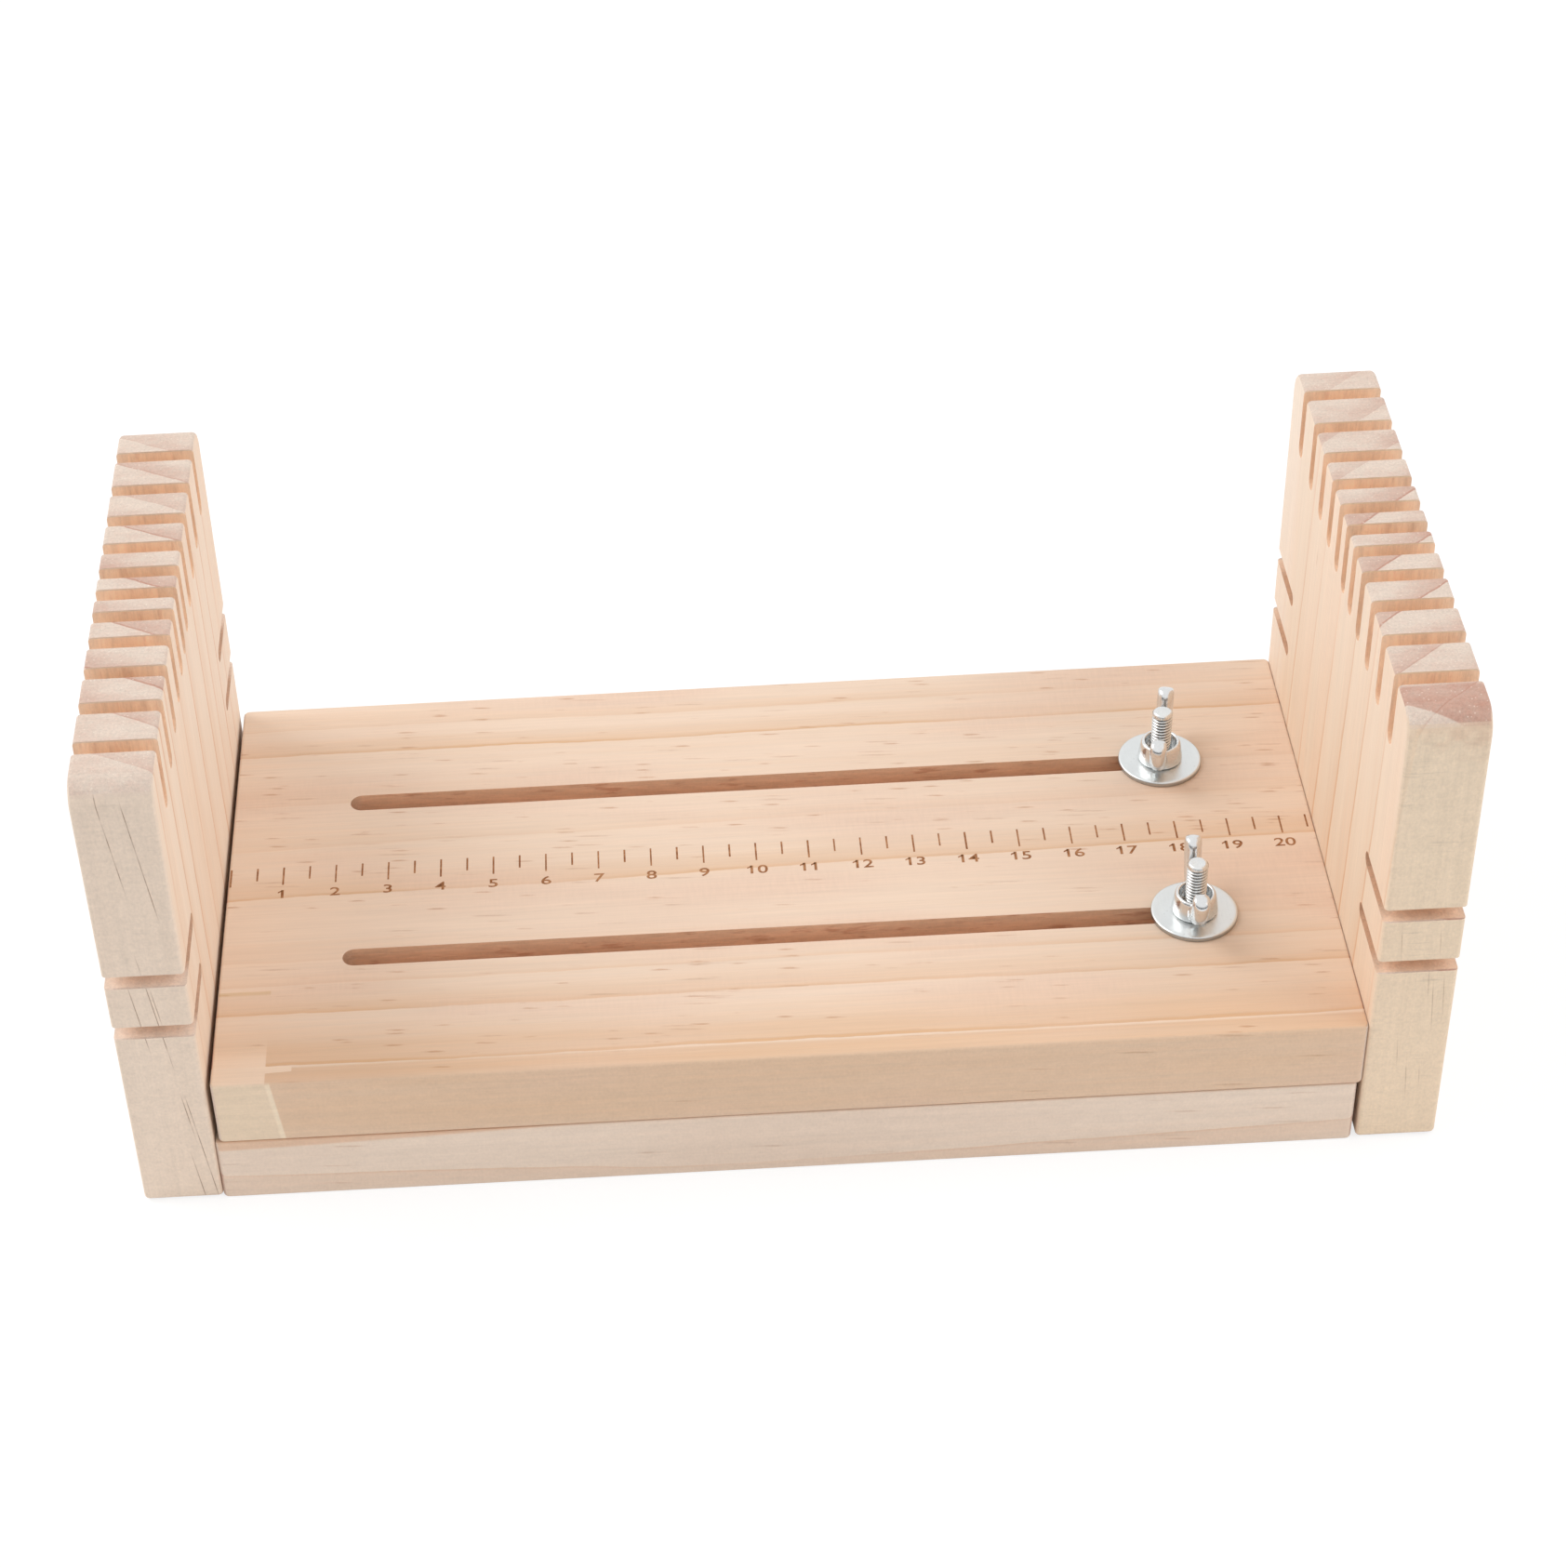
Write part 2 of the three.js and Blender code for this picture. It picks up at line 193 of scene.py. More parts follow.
class Graph:
    """The nodes of a material or world. Each method adds a node and returns what it gives."""

    def __init__(self, owner):
        self.owner = owner
        owner.use_nodes = True
        self.tree = owner.node_tree
        self.tree.nodes.clear()
        self.normal = None

    def feed(self, socket, value):
        if isinstance(value, Value):
            value = value.socket
        if isinstance(value, bpy.types.NodeSocket):
            self.tree.links.new(value, socket)
        else:
            socket.default_value = value

    def node(self, kind, inputs, **settings):
        made = self.tree.nodes.new(kind)
        for key, value in settings.items():
            setattr(made, key, value)
        for key, value in inputs.items():
            self.feed(made.inputs[key], value)
        return made

    def math(self, operation, *values):
        made = self.node("ShaderNodeMath", dict(enumerate(values)), operation=operation)
        return Value(self, made.outputs[0])

    def split(self, vector):
        made = self.node("ShaderNodeSeparateXYZ", {0: vector})
        return [Value(self, out) for out in made.outputs]

    def join(self, x, y, z):
        return self.node("ShaderNodeCombineXYZ", {0: x, 1: y, 2: z}).outputs[0]

    def place(self):
        """X, Y and Z in millimetres, which stay with the wood as it slides."""
        where = self.node("ShaderNodeTexCoord", {}).outputs["Object"]
        return [part * 1000 for part in self.split(where)]

    def facing(self):
        """How far the surface faces along each axis, from 0 to 1."""
        normal = self.node("ShaderNodeTexCoord", {}).outputs["Normal"]
        return [abs(part) for part in self.split(normal)]

    def noise(self, x, y, z, detail=2.0, roughness=0.5):
        """Smooth noise about 0, roughly from -0.5 to 0.5."""
        sockets = {"Vector": self.join(x, y, z), "Scale": 1.0, "Detail": detail, "Roughness": roughness}
        return Value(self, self.node("ShaderNodeTexNoise", sockets).outputs[0]) - 0.5

    def cells(self, x, y, z):
        """Distance to the nearest of many scattered points, and a random number for that point."""
        made = self.node("ShaderNodeTexVoronoi", {"Vector": self.join(x, y, z), "Scale": 1.0})
        chance = self.split(made.outputs["Color"])[0]
        return Value(self, made.outputs["Distance"]), chance

    def rise(self, value, low, high):
        """0 below low, 1 above high, and smooth between."""
        sockets = {"Value": value, "From Min": low, "From Max": high}
        made = self.node("ShaderNodeMapRange", sockets, interpolation_type="SMOOTHSTEP")
        return Value(self, made.outputs["Result"])

    def fall(self, value, low, high):
        return 1 - self.rise(value, low, high)

    def between(self, value, low, high, soft):
        return self.rise(value, low - soft, low + soft) * self.fall(value, high - soft, high + soft)

    def mix(self, share, first, second):
        """The first colour where share is 0, and the second where it is 1."""
        made = self.node("ShaderNodeMix", {0: share, 6: first, 7: second}, data_type="RGBA")
        return made.outputs[2]

    def shade(self, colour, brightness):
        """A colour times a brightness."""
        if isinstance(colour, tuple):
            colour = colour[:3]
        made = self.node("ShaderNodeVectorMath", {0: colour, "Scale": brightness}, operation="SCALE")
        return made.outputs[0]

    def bump(self, height, depth):
        """Height from 0 to 1 as relief of that depth, in millimetres."""
        made = self.node("ShaderNodeBump", {"Height": height, "Distance": depth * MM, "Strength": 1.0})
        self.normal = made.outputs[0]

    def path(self, kind):
        return Value(self, self.node("ShaderNodeLightPath", {}).outputs[kind])

    def show(self, shader, output="ShaderNodeOutputMaterial"):
        self.node(output, {"Surface": shader.outputs[0]})

    def finish(self, colour, roughness, **sockets):
        inputs = {"Base Color": colour, "Roughness": roughness}
        if self.normal:
            inputs["Normal"] = self.normal
        inputs.update({key.replace("_", " "): value for key, value in sockets.items()})
        self.show(self.node("ShaderNodeBsdfPrincipled", inputs))
        return self.owner


def new_material(name):
    return Graph(bpy.data.materials.new(name))


# Pine

@dataclass
class Timber:
    """How one piece was cut from its tree, and its colours. The grain runs along X or Z.

    Each ring has a place, where it ends in a thin dark line, a strength from 0 to 1, and a reach,
    how far its tone fades out towards +Y. Places are counted in Y, at the middle thickness of the
    piece. A place moves in Y by tilt for each millimetre of thickness, by slant for each
    millimetre along the grain, and by climb as well inside climb_band. bow bends all the rings
    along the grain, as pairs of a length along it and a shift. line_share and tone_share are how
    strongly the lines show, and the tones behind them.

    pale, late and blush colour the sanded faces, cut and notch the walls that the cutters left,
    and burn is how much of those walls is scorched. The fields that begin with edge are for the
    narrow front and back. dashes and hairs add to the marks of resin canals, and dash_band
    gathers them in a band of Y. streaks are single long streaks of resin on the front edge.
    """

    name: str
    grain: str
    middle: float
    rings: tuple
    tilt: float
    slant: float = 0.0
    slant_from: float = 0.0
    climb: float = 0.0
    climb_band: tuple = (0.0, 0.0)
    bow: tuple = ()
    wave: float = 1.2
    line_share: float = 0.5
    tone_share: float = 0.5
    pale: tuple = tint(242, 217, 195)
    late: tuple = tint(225, 183, 144)
    blush: tuple = tint(235, 203, 181)
    # sap_share: how much the piece is painted paler towards its back edge and its top, as painted light
    sap_share: float = 0.0
    cut: tuple = tint(252, 219, 189)
    notch: tuple = tint(238, 207, 181)
    burn: float = 0.16
    edge_tone: tuple = tint(236, 216, 192)
    edge_share: float = 0.0
    edge_ripple: float = 0.0
    edge_calm: float = 0.65
    front_band: float = 0.0
    dashes: float = 0.0
    dash_band: tuple = ()
    hairs: float = 0.0
    streaks: tuple = ()
    streak_lean: float = 0.0
    streak_depth: float = 0.7
    seed: float = 0.0
    finger_joint: bool = False
    top_wedge: bool = False
    dark_tooth: bool = False


RING_MARGIN = 20.0
RING_REACH = 20.0
RAMP_STEP = 0.4
LINE_WIDTH = 1.2
STREAK_WIDTH = 0.14
PINE_RELIEF = 0.08

# Places on the wood. A pair is a range, or the two limits between which a mask fades.
FRONT_SKIN = (-53.4, -52.6)
# Where the painted light on the right plate fades in: towards the back in Y and towards the top in Z
PAINTED_LIGHT_BACK = (38, 46)
PAINTED_LIGHT_TOP = (30, 95)
FRONT_BAND_EDGE = (-50.4, -49.6)
FRONT_BAND_FOOT = (14.5, 21)
SLOTTED_Y = (52, 52.6)
SLOTTED_X = (101, 102)
GROOVED_Y = (49, 49.6)
GROOVED_Z = (84, 97.7)
NOTCHED_Y = (36.9, 53.6)
NOTCHED_Z = (40.8, 56)
NOTCH_PAINTED_SHADE_Y = (47, 51)
JOINT_PLACE = -93.2
JOINT_LEAN = 0.115
JOINT_FINGER = 4.7
JOINT_FINGER_Y = (-51.0, -49.5)
JOINT_GLUE = 0.9
SHORT_TOP_Y = (-50, -41)
SHORT_SEAM_Y = (-30.5, -29.5)
TOP_WEDGE_LEFT = (-104.0, 11.9)
TOP_WEDGE_RISE = 0.03
DARK_TOOTH_BACK = -45.0
TOOTH_FLUSH_Y = (-52, -48)
TOOTH_FLUSH_HEIGHT = (128, 139)
TOOTH_WEDGE_PLACE = -49.6
TOOTH_WEDGE_SLOPE = 0.38
INNER_FACE = 103.8


class Spot:
    """A point on a timber: its place, the way it faces, and how dark the latewood is there."""

    def __init__(self, g, timber):
        self.x, self.y, self.z = g.place()
        self.facing = g.facing()
        self.narrow = self.facing[1]
        if timber.grain == "X":
            self.along, self.thick, end = self.x, self.z, self.facing[0]
        else:
            self.along, self.thick, end = self.z, self.x, self.facing[2]
        self.grain_end = g.rise(end, 0.46, 0.68)
        self.line, self.tone = latewood(g, timber, ring_place(g, timber, self))


def bent(g, along, bow):
    """The shift of the rings along the grain, from the pairs in bow."""
    first, last = bow[0][0], bow[-1][0]
    shifts = [shift for _, shift in bow]
    low, span = min(shifts), max(shifts) - min(shifts)
    made = g.node("ShaderNodeFloatCurve", {"Value": (along - first) / (last - first)})
    curve = made.mapping.curves[0]
    points = [((place - first) / (last - first), (shift - low) / span) for place, shift in bow]
    curve.points[0].location = points[0]
    curve.points[1].location = points[-1]
    for point in points[1:-1]:
        curve.points.new(*point)
    made.mapping.update()
    return Value(g, made.outputs[0]) * span + low


def latewood(g, timber, across):
    """How dark the latewood is: a thin line where a ring ends, and a soft tone behind it.

    A ramp of plain steps finds the ring. Its colours carry the ring's place, strength and reach.
    """
    rings = sorted(timber.rings)
    low = rings[0][0] - RING_MARGIN
    span = rings[-1][0] + RING_MARGIN - low
    made = g.node("ShaderNodeValToRGB", {0: (across - low) / span})
    ramp = made.color_ramp
    ramp.interpolation = "CONSTANT"
    ramp.elements.remove(ramp.elements[1])
    ramp.elements[0].position = 0
    ramp.elements[0].color = (0, 0, 1, 1)
    for place, strength, reach in rings:
        stop = ramp.elements.new((place - RAMP_STEP - low) / span)
        stop.color = ((place - low) / span, strength, reach / RING_REACH, 1)
    place, strength, reach = g.split(made.outputs[0])
    above = across - (place * span + low)
    edge = g.rise(above, -0.1, 0.2)
    line = g.fall(above, 0.1, LINE_WIDTH)
    tone = g.fall(above / (reach * RING_REACH), 0.0, 1.0)
    return edge * strength * line, edge * strength * tone


def ring_place(g, timber, spot):
    """Where a point lies across the rings, in millimetres of Y."""
    along, y, thick = spot.along, spot.y, spot.thick
    shift = timber.seed
    wave = g.noise(along / 80 + shift, y / 40, thick / 40, 1.0) * timber.wave * 2
    ripple = g.noise(along / 14, y / 7 + shift, thick / 7, 3.0, 0.65) * 1.1
    across = y - (thick - timber.middle) * timber.tilt + wave + ripple
    if timber.slant:
        across = across + (along - timber.slant_from) * timber.slant
    if timber.climb:
        band = g.between(y, *timber.climb_band, 7)
        across = across - (along - timber.slant_from) * timber.climb * band
    if timber.bow:
        across = across - bent(g, along, timber.bow)
    return across


def short_board(g, timber, spot):
    """1 on the short piece left of the finger joint, and 1 on its glue line, as two numbers."""
    finger = g.between(spot.y, *JOINT_FINGER_Y, 0.15) * JOINT_FINGER
    lean = (timber.middle - spot.z) * JOINT_LEAN
    line = spot.x - (finger + lean + JOINT_PLACE)
    return g.fall(line, -0.1, 0.1), g.between(line, 0, JOINT_GLUE, 0.2)


def cut_masks(g, timber, spot):
    """1 on the walls of slots or grooves, and 1 on the walls of notches, as two numbers."""
    side = abs(spot.y)
    if timber.grain == "X":
        inside = g.fall(side, *SLOTTED_Y) * g.fall(abs(spot.x), *SLOTTED_X)
        return g.fall(spot.facing[2], 0.25, 0.6) * inside, 0.0
    wall = g.fall(spot.facing[0], 0.15, 0.4)
    groove = g.fall(side, *GROOVED_Y) * g.between(spot.z, *GROOVED_Z, 0.15)
    notch = g.between(spot.z, *NOTCHED_Z, 0.1) * g.between(side, *NOTCHED_Y, 0.2)
    return wall * groove, wall * notch


def dark_streaks(g, timber, spot):
    """Long thin resin streaks on the front edge, each given as X, top Z and bottom Z."""
    total = None
    for place, top, bottom in timber.streaks:
        offset = abs(spot.x - place - (top - spot.z) * timber.streak_lean)
        line = g.fall(offset, STREAK_WIDTH * 0.2, STREAK_WIDTH)
        streak = line * g.between(spot.z, bottom, top, 2.5)
        total = streak if total is None else g.math("MAXIMUM", total, streak)
    uneven = g.rise(g.noise(spot.x * 0.8, 3.1, spot.z * 0.2), -0.3, 0.1)
    return total * uneven * g.fall(spot.y, *FRONT_SKIN)


def dashes(g, timber, spot, length, wanted):
    """Short brown dashes in loose groups, where resin canals are cut open."""
    along, y, thick = spot.along, spot.y, spot.thick
    shift = timber.seed + length
    lean = along * 0.045
    distance, chance = g.cells(along / length + shift, (y + lean) / 0.95, (thick + lean) / 0.95)
    crowd = g.rise(g.noise(along / 45, y / 6 + shift, thick / 6, 2.0), -0.1, 0.14)
    frayed = g.noise(along / 1.8, y / 0.4, thick / 0.4, 2.0) * 0.35
    drawn = g.fall(distance + frayed, 0.04, 0.34)
    if timber.dash_band:
        wanted = g.between(y, *timber.dash_band, 4) * 0.16 + wanted
    return drawn * g.rise(chance + crowd * 0.36 + wanted, 0.96, 1.1)


def edge_marks(g, timber, spot):
    """Light and dark on the narrow front and back edges: flecks, specks, saw ripples and, on the
    plates, painted light that is brighter towards the floor.
    """
    fleck = g.noise(spot.x / 2.2 + timber.seed, spot.y / 2.2, spot.z / 1.1, 3.0, 0.6)
    speck = g.noise(spot.x / 0.5, spot.y / 0.5, spot.z / 0.7, 2.0)
    ripple = g.noise(spot.x / 9, spot.y / 9, spot.z / 0.5 + spot.x / 40, 2.0, 0.6)
    patch = g.rise(g.noise(spot.x / 9, spot.y / 9, spot.z / 12 + timber.seed, 1.0), -0.05, 0.2)
    chatter = g.rise(ripple, 0.06, 0.2) * patch
    if timber.grain == "X":
        return fleck * 0.14 + speck * 0.14
    # Painted light: the plates' edges are lighter near the floor, as its bounce light would make them,
    # and darker towards the top
    rise = (1 - spot.z / 60) * 0.045
    return fleck * 0.2 + speck * 0.24 + rise - chatter * timber.edge_ripple


def tooth_flush(g, spot, wood):
    """The dark latewood of the front tooth, where it shows on the plate's narrow front."""
    blotch = g.noise(spot.x / 3, spot.y / 3, spot.z / 2, 3.0, 0.6)
    height = spot.z + spot.x * 0.35 + blotch * 16
    flush = g.rise(height, *TOOTH_FLUSH_HEIGHT) * spot.narrow
    return g.mix(flush * g.fall(spot.y, *TOOTH_FLUSH_Y) * 0.45, wood, TOOTH_FLUSH)


def top_wedge(g, spot, wood, band):
    """A thin orange wedge along the top of the lower board's front, widest at the left."""
    left, low = TOP_WEDGE_LEFT
    edge = (spot.x - left) * TOP_WEDGE_RISE + low + band * 0.8
    wedge = g.rise(spot.z - edge, -0.1, 0.5) * g.fall(spot.y, *FRONT_SKIN)
    return g.mix(wedge * 0.6, wood, WEDGE_ORANGE)


def joined_end(g, timber, spot, wood, fibre):
    """The paler short piece beyond the finger joint, with a seam of its own and a line of glue."""
    short_piece, glue = short_board(g, timber, spot)
    near_front = g.fall(spot.y, *SHORT_TOP_Y)
    wood = g.mix(short_piece * near_front * 0.9, wood, SHORT_TOP)
    wood = g.mix(short_piece * spot.narrow * 0.85, wood, SHORT_FRONT)
    seam = short_piece * g.between(spot.y + fibre * 0.8, *SHORT_SEAM_Y, 0.3)
    wood = g.mix(seam * 0.45, wood, SHORT_SEAM)
    return g.mix(glue * spot.narrow * 0.8, wood, GLUE_PALE)


def long_grain(g, timber, spot):
    """Sanded faces: bands, blushes, fibres and fine scratches. Returns colour, relief, fibre."""
    along, y, thick = spot.along, spot.y, spot.thick
    shift = timber.seed
    fibre = g.noise(along / 20, y / 0.55, thick / 0.55, 4.0, 0.7)
    strand = g.noise(along / 55, y / 1.4 + shift, thick / 1.4, 3.0, 0.6)
    band = g.noise(along / 120, y / 4.5 + shift, thick / 4.5, 2.0, 0.6)
    blush = g.rise(g.noise(along / 55, y / 16 + shift, thick / 16, 1.0), -0.1, 0.22)
    scratch = g.noise(along / 0.6, (y + along * 0.25) / 4, thick / 4, 2.0)
    patchy = g.noise(along / 32, y / 9, thick / 9 + shift, 1.0) * 1.6 + 0.95
    rings = spot.line * patchy * timber.line_share + spot.tone * timber.tone_share
    share = rings + band * 0.5 + strand * 0.35
    if timber.front_band:
        under = g.fall(thick, *FRONT_BAND_FOOT) * 0.1 + 0.21
        front = g.fall(y + band * 1.5, *FRONT_BAND_EDGE)
        share = share + front * (timber.front_band - spot.narrow * under)
    wood = g.mix(g.math("MAXIMUM", share, 0.0), timber.pale, timber.late)
    wood = g.mix(blush * 0.6, wood, timber.blush)
    # Painted light: paler towards the back edge and the top, where the light falls brighter
    if timber.sap_share:
        painted_light = g.rise(y + band * 6, *PAINTED_LIGHT_BACK) * 0.55 + g.rise(along, *PAINTED_LIGHT_TOP) * 0.45
        wood = g.mix(painted_light * timber.sap_share, wood, PAINTED_LIGHT_TONE)
    plain = 1 - spot.narrow * timber.edge_calm
    fine = (fibre * 0.2 + scratch * blush * 0.1) * plain
    light = fine + strand * (spot.narrow * 0.07 + 0.1) + 1.0
    dash = dashes(g, timber, spot, 8.0, timber.dashes)
    long_dash = dashes(g, timber, spot, 19.0, timber.dashes)
    wood = g.mix(dash * 0.56 * (1 - spot.narrow), wood, DASH_BROWN)
    wood = g.mix(long_dash * (spot.narrow * timber.hairs + 0.35), wood, HAIR_BROWN)
    if timber.edge_share:
        wood = g.mix(spot.narrow * timber.edge_share, wood, timber.edge_tone)
        light = light + edge_marks(g, timber, spot) * spot.narrow
    if timber.dark_tooth:
        wood = tooth_flush(g, spot, wood)
    if timber.streaks:
        depth = dark_streaks(g, timber, spot) * timber.streak_depth
        wood = g.mix(depth, wood, STREAK_BROWN)
    if timber.top_wedge:
        wood = top_wedge(g, spot, wood, band)
    if timber.finger_joint:
        wood = joined_end(g, timber, spot, wood, fibre)
    relief = fibre * 0.5 + scratch * 0.2 + spot.line * 0.2 - dash * 0.5
    return g.shade(wood, light), relief, fibre


def dark_tooth(g, spot, tone):
    """The front tooth, nearly all latewood above a pale wedge."""
    above = spot.y + (spot.x - INNER_FACE) * TOOTH_WEDGE_SLOPE
    here = g.fall(spot.y, DARK_TOOTH_BACK - 0.5, DARK_TOOTH_BACK + 0.5)
    mauve = g.rise(above, TOOTH_WEDGE_PLACE - 0.3, TOOTH_WEDGE_PLACE)
    return tone * (1 - here) + here * mauve * 0.75


def end_grain(g, timber, spot):
    """Sawn ends: mauve latewood, open pores, and pale cut fibres with painted glints of light. Returns
    colour, pores.
    """
    x, y, z = spot.x, spot.y, spot.z
    pore = g.noise(x / 0.5, y / 0.5, z / 0.5, 3.0, 0.7)
    grit = g.noise(x / 1.5, y / 1.5, z / 1.5, 3.0, 0.7)
    saw = g.noise(x / 5, y / 0.5, z / 5, 2.0)
    tone = spot.tone * 0.68
    if timber.dark_tooth:
        tone = dark_tooth(g, spot, tone)
    mottle = g.noise(x / 8, y / 3.5, z / 8, 2.0, 0.6) * 0.75
    fine_line = g.rise(spot.line, 0.35, 0.9)
    share = fine_line * 0.75 + tone + grit * 0.6 + mottle + 0.06
    end = g.mix(g.math("MAXIMUM", share, 0.0), END_PALE, END_LATE)
    # Painted highlight: pale dots where cut fibres would catch the light
    glint, rare = g.cells(x / 0.6, y / 0.6, z / 0.6)
    painted_glint = g.fall(glint, 0.12, 0.32) * g.rise(rare, 0.66, 0.76)
    end = g.shade(end, pore * 0.5 + grit * 0.2 + saw * 0.14 + 1.0)
    return g.mix(painted_glint * 0.45, end, END_PAINTED_GLINT), pore


def cut_walls(g, timber, spot, colour, pore):
    """Walls burnished by the cutter, with torn fibres; slot ends of darker end grain with painted
    shade, and painted shade deep in the notches. Returns colour, walls and torn fibres.
    """
    wall, notch = cut_masks(g, timber, spot)
    torn = g.noise(spot.along / 5, spot.y / 0.6, spot.thick / 0.6, 3.0, 0.65)
    stain = g.noise(spot.along / 14, spot.y / 5, spot.thick / 2, 2.0)
    light = torn * 0.4 + stain * 0.35 + pore * 0.2 - spot.tone * 0.12 + 1.0
    burn = g.rise(g.noise(spot.along / 9, spot.y / 5, spot.thick / 1.6, 3.0, 0.6), 0.05, 0.17)
    cut = g.mix(burn * timber.burn, timber.cut, BURN_BROWN)
    if timber.grain == "X":
        # Slot end walls: darker end grain, with painted shade at the closed end of the narrow slot
        cut = g.mix(spot.facing[0] * 0.7, cut, SLOT_END_GRAIN_AND_SHADE)
    colour = g.mix(wall, colour, g.shade(cut, light))
    if timber.grain == "Z":
        # Painted shade: deep inside the notches the walls are painted warmer and a little darker, as
        # shade falls there
        inside = g.fall(abs(spot.y), *NOTCH_PAINTED_SHADE_Y)
        tone = g.mix(inside * 0.6, timber.notch, NOTCH_PAINTED_SHADE)
        colour = g.mix(notch, colour, g.shade(tone, light * (1.03 - inside * 0.05)))
        wall = g.math("MAXIMUM", wall, notch)
    return colour, wall, torn


def pine(timber):
    """Sanded pine: growth rings through the piece, with long grain, end grain and cut walls."""
    g = new_material(timber.name)
    spot = Spot(g, timber)
    wood, relief, fibre = long_grain(g, timber, spot)
    end, pore = end_grain(g, timber, spot)
    colour = g.mix(spot.grain_end, wood, end)
    colour, wall, torn = cut_walls(g, timber, spot, colour, pore)
    relief = relief + spot.grain_end * pore * 1.3 + wall * torn * 1.2
    g.bump(relief, PINE_RELIEF)
    rough = 0.62 - spot.line * 0.06 + fibre * 0.1 + spot.grain_end * 0.12
    return g.finish(colour, rough, Specular_IOR_Level=0.28)


LEFT_STREAKS = (
    (-113.9, 96.5, 76.0),
    (-109.6, 94.5, 70.0),
    (-111.6, 58.9, 57.0),
    (-113.9, 52.3, 38.7),
    (-111.0, 54.0, 34.5),
    (-110.1, 51.2, 45.3),
    (-108.1, 25.5, 16.4),
    (-107.4, 25.1, 1.5),
    (-108.1, 10.5, 0.5),
)
RIGHT_STREAKS = (
    (107.2, 52.3, 45.5),
    (114.2, 49.4, 44.9),
    (113.0, 40.9, 35.8),
    (114.1, 37.3, 27.6),
    (115.9, 38.7, 31.5),
    (109.1, 24.4, 19.6),
    (111.2, 19.0, 11.4),
    (113.7, 17.3, 14.2),
)

TIMBERS = {
    "upper_board": Timber(
        name="upper_board_pine",
        grain="X",
        middle=28.2,
        rings=(
            (66.0, 0.5, 10),
            (46.6, 0.35, 6),
            (38.6, 0.95, 7),
            (23.4, 0.35, 9),
            (10.3, 0.27, 9),
            (-4.2, 0.9, 10),
            (-21.8, 0.3, 8),
            (-28.1, 0.45, 4),
            (-35.8, 0.85, 8),
            (-49.4, 1.3, 15),
        ),
        tilt=-0.35,
        slant_from=-103.0,
        climb=0.019,
        climb_band=(-12.0, 17.0),
        cut=tint(246, 205, 172),
        burn=0.4,
        front_band=0.68,
        dash_band=(4.0, 36.0),
        hairs=0.3,
        edge_tone=tint(214, 183, 153),
        edge_share=0.35,
        edge_calm=0.3,
        seed=3.7,
        finger_joint=True,
    ),
    "lower_board": Timber(
        name="lower_board_pine",
        grain="X",
        middle=0.0,
        rings=((-18.0, 0.6, 12), (-36.0, 0.6, 12), (-54.0, 0.75, 16)),
        tilt=1.75,
        bow=((-104, -9.8), (-70, -8.2), (-37, -5.9), (-17, -3.6), (15, -4.4), (50, -6.2), (104, -9.6)),
        wave=0.3,
        pale=tint(240, 220, 202),
        late=tint(230, 194, 166),
        blush=tint(234, 211, 192),
        cut=tint(246, 205, 172),
        burn=0.5,
        edge_tone=tint(238, 219, 202),
        edge_share=0.05,
        seed=8.2,
        top_wedge=True,
    ),
    "fixed_end_plate": Timber(
        name="right_plate_pine",
        grain="Z",
        middle=110.8,
        rings=(
            (46.5, 0.35, 8),
            (33.0, 0.45, 9),
            (20.5, 0.5, 8),
            (5.4, 0.85, 10),
            (-8.5, 0.85, 10),
            (-22.5, 0.8, 9),
            (-36.5, 0.6, 9),
            (-50.2, 0.6, 9),
        ),
        tilt=0.85,
        slant=0.065,
        slant_from=98.0,
        wave=0.7,
        line_share=1.5,
        tone_share=0.3,
        pale=tint(236, 213, 189),
        late=tint(222, 176, 138),
        blush=tint(240, 210, 184),
        sap_share=0.65,
        edge_tone=tint(240, 218, 190),
        edge_share=0.7,
        edge_ripple=0.14,
        streaks=RIGHT_STREAKS,
        streak_lean=0.07,
        streak_depth=0.35,
        dashes=-0.3,
        seed=1.4,
        dark_tooth=True,
    ),
    "sliding_end_plate": Timber(
        name="left_plate_pine",
        grain="Z",
        middle=-110.8,
        rings=(
            (46.0, 0.5, 6),
            (37.3, 0.6, 7),
            (28.0, 0.5, 7),
            (18.4, 0.7, 8),
            (3.3, 0.85, 9),
            (-10.5, 0.7, 9),
            (-24.6, 0.8, 9),
            (-34.7, 0.6, 8),
            (-46.5, 0.5, 8),
        ),
        tilt=-0.52,
        slant=0.02,
        slant_from=98.0,
        wave=0.7,
        line_share=1.5,
        tone_share=0.3,
        pale=tint(240, 219, 199),
        late=tint(224, 180, 146),
        blush=tint(238, 211, 187),
        notch=tint(242, 220, 202),
        edge_tone=tint(234, 215, 197),
        edge_share=0.8,
        edge_ripple=0.05,
        streaks=LEFT_STREAKS,
        streak_lean=0.115,
        dashes=-0.3,
        seed=6.1,
    ),
}


def burnt_mark():
    """The brown of a mark that is branded lightly into pine."""
    g = new_material("burnt_mark")
    x, y, z = g.place()
    patch = g.noise(x / 1.1, y / 1.1, z / 1.1, 3.0, 0.6)
    colour = g.mix(g.rise(patch, -0.2, 0.25), MARK_DARK, MARK_LIGHT)
    return g.finish(colour, 0.8, Specular_IOR_Level=0.15)


# Zinc plated steel

